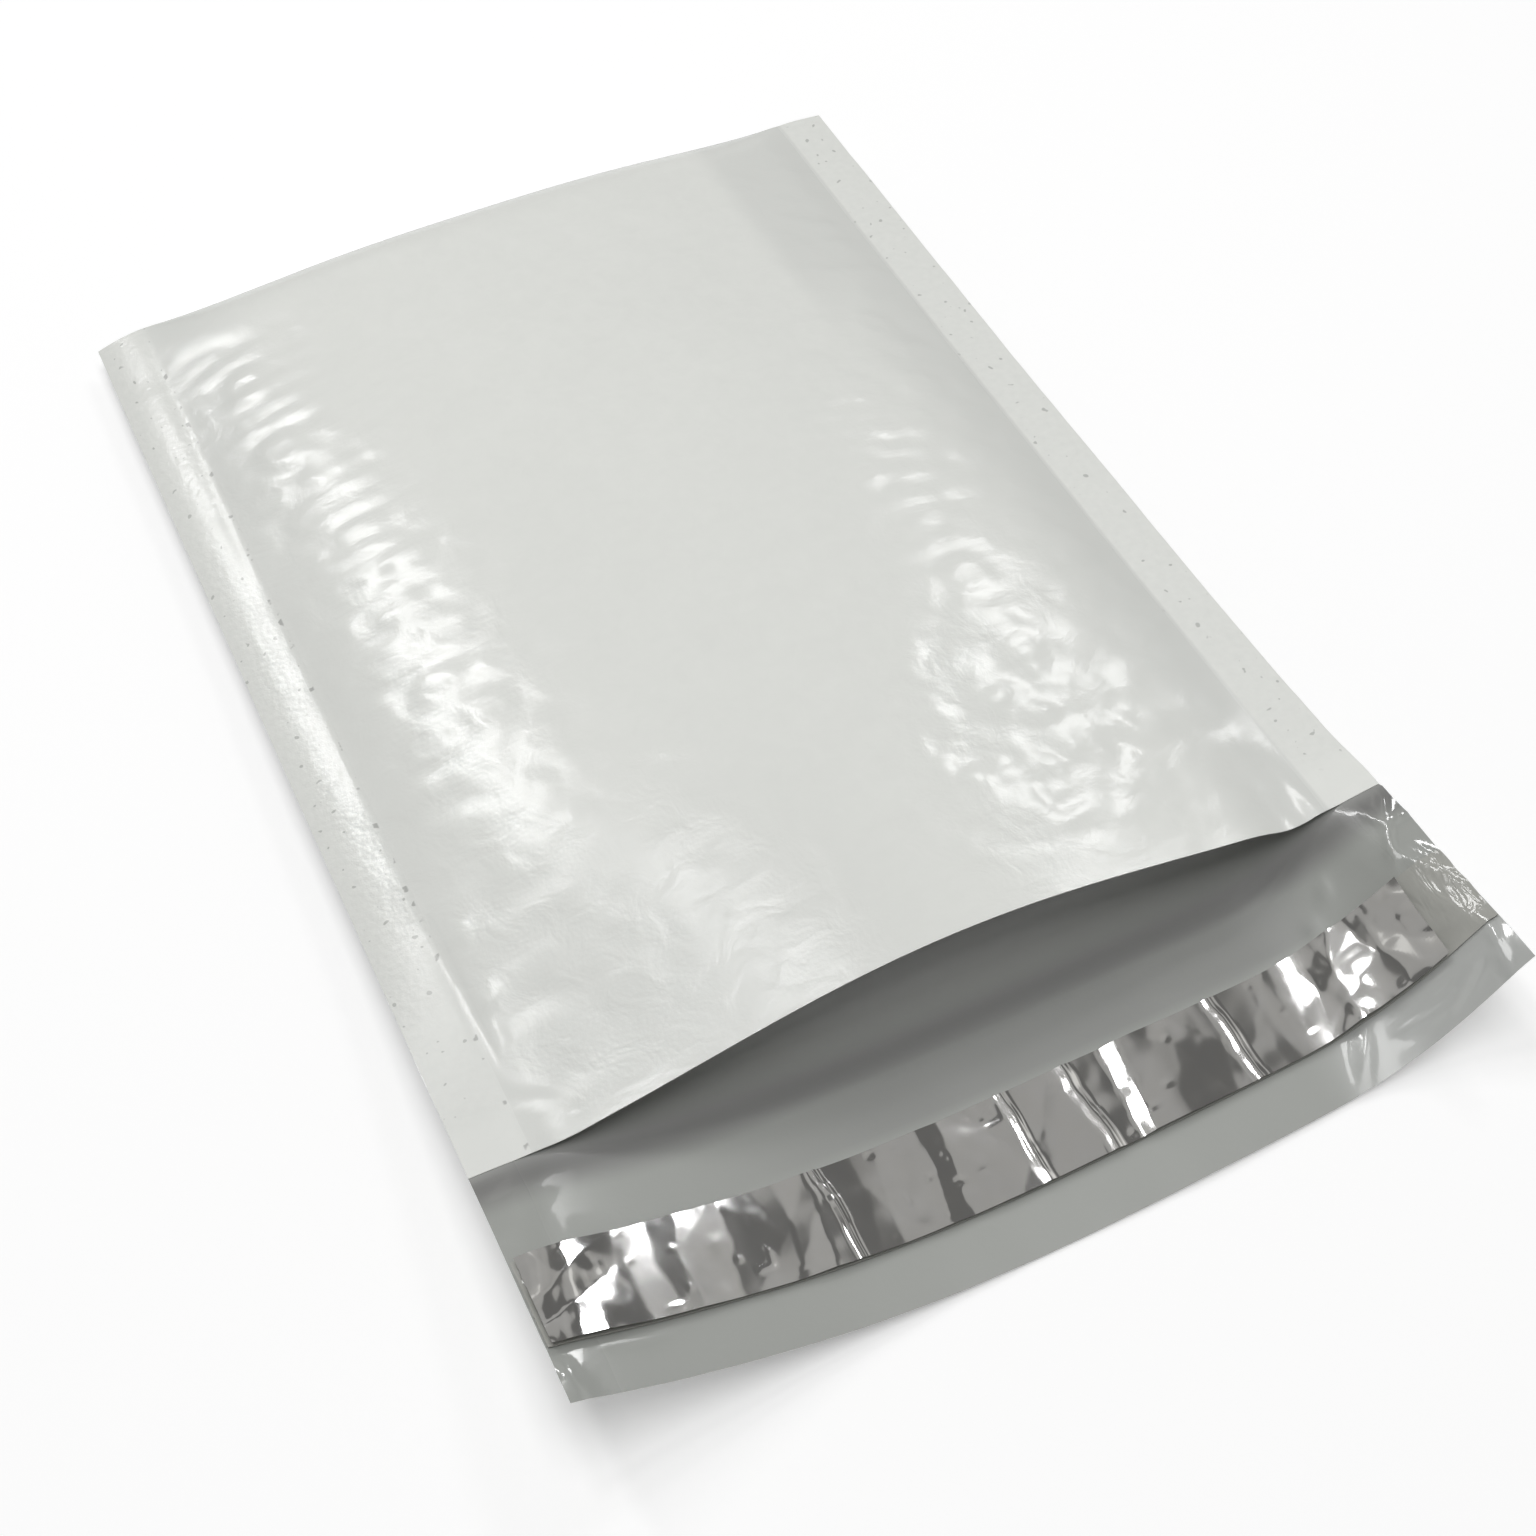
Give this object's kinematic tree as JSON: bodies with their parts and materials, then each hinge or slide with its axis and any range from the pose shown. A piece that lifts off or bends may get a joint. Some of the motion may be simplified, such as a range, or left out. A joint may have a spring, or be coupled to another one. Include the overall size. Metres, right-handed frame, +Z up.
{
  "type": "padded envelope",
  "caption": "Padded mailing envelope of white plastic film with a bubble lining, open at the mouth, with a self-seal flap and silver release liner.",
  "frame": {"origin": "on the floor under the middle of the envelope's bounding box, flap included", "axes": "+X across the width, +Y from the flap and mouth to the folded closed end, +Z up out of the front panel"},
  "size_m": [0.165, 0.257, 0.0205],
  "materials": {
    "white_film": "satin polyethylene film, white outside and grey inside",
    "bubble_film": "translucent bubble film",
    "adhesive": "glossy hot-melt adhesive",
    "metallised_film": "mirror-bright metallised release film"
  },
  "bodies": {
    "root": {"outer_film": "white_film", "bubble_lining": "bubble_film", "adhesive_strip": "adhesive", "release_liner": "metallised_film"}
  },
  "joints": []
}
